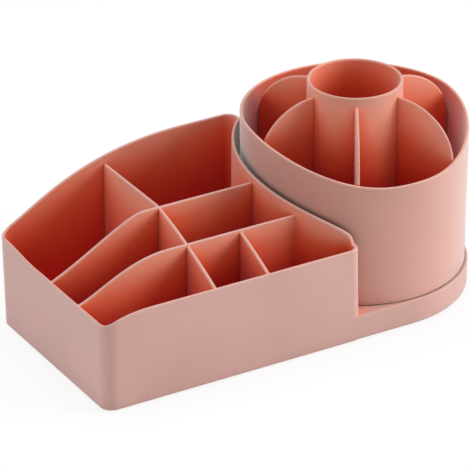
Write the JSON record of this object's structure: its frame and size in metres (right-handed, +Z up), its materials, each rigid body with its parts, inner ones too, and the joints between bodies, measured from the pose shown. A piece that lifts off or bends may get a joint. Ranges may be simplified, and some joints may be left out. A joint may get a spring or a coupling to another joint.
{
  "type": "rotating desk organizer",
  "caption": "Desk organizer: an open tray divided into compartments, and a tall round cup with a petal divider that turns on the tray's platform.",
  "frame": {"origin": "middle of the object's footprint, on the table under its feet", "axes": "+Z up, +X along the length from the tray towards the turning cup, +Y to the tall back wall"},
  "size_m": [0.302, 0.1516, 0.145],
  "materials": {
    "tray_plastic": "fine satin, dusty pink",
    "cup_plastic": "fine satin, dusty pink",
    "natural_nylon": "natural white nylon",
    "zinc_steel": "bright zinc plated",
    "bearing_steel": "polished balls",
    "foot_rubber": "matt black"
  },
  "bodies": {
    "tray": {"tray_body": "tray_plastic", "pivot_bush": "natural_nylon", "rubber_foot_1": "foot_rubber", "rubber_foot_2": "foot_rubber", "rubber_foot_3": "foot_rubber", "rubber_foot_4": "foot_rubber", "rubber_foot_5": "foot_rubber", "rubber_foot_6": "foot_rubber"},
    "cup": {"cup_shell": "cup_plastic", "petal_divider": "cup_plastic", "pivot_washer": "zinc_steel", "pivot_screw": "zinc_steel"},
    "ball_ring": {"ball_cage": "natural_nylon", "bearing_ball_01": "bearing_steel", "bearing_ball_02": "bearing_steel", "bearing_ball_03": "bearing_steel", "bearing_ball_04": "bearing_steel", "bearing_ball_05": "bearing_steel", "bearing_ball_06": "bearing_steel", "bearing_ball_07": "bearing_steel", "bearing_ball_08": "bearing_steel", "bearing_ball_09": "bearing_steel", "bearing_ball_10": "bearing_steel", "bearing_ball_11": "bearing_steel", "bearing_ball_12": "bearing_steel"}
  },
  "joints": [
    {"name": "cup_spin", "type": "hinge", "parent": "tray", "child": "cup", "pos_m": [0.07572, 0.00046, 0], "axis": [0, 0, 1], "continuous": true},
    {"name": "cage_spin", "type": "hinge", "parent": "tray", "child": "ball_ring", "pos_m": [0.07572, 0.00046, 0], "axis": [0, 0, 1], "continuous": true}
  ],
  "couplings": [
    {"joint": "cage_spin", "follows": "cup_spin", "ratio": 0.5}
  ]
}
